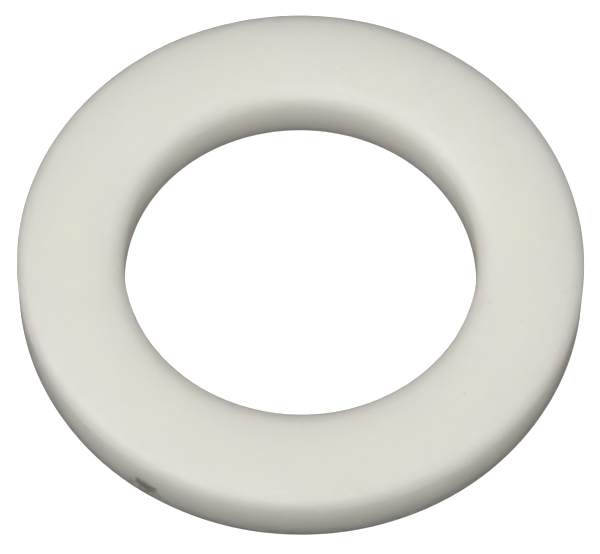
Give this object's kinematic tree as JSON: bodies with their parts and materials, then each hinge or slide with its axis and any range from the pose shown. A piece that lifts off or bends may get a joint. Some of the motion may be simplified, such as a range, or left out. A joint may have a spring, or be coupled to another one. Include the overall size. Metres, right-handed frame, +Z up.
{
  "type": "flat washer",
  "caption": "Plain round moulded plastic washer, flat on both faces, with a bore and softly rounded edges.",
  "frame": {"origin": "centre of the bore on the lower face", "axes": "+Z up along the bore, from the lower face to the upper face; X and Y lie across the ring, and the gate scar on the rim is 238 degrees round from +X"},
  "size_m": [0.0186, 0.0186, 0.0025],
  "materials": {
    "nylon": "natural off-white nylon, as moulded, satin, slightly translucent at its edges"
  },
  "bodies": {
    "root": {"washer": "nylon"}
  },
  "joints": []
}
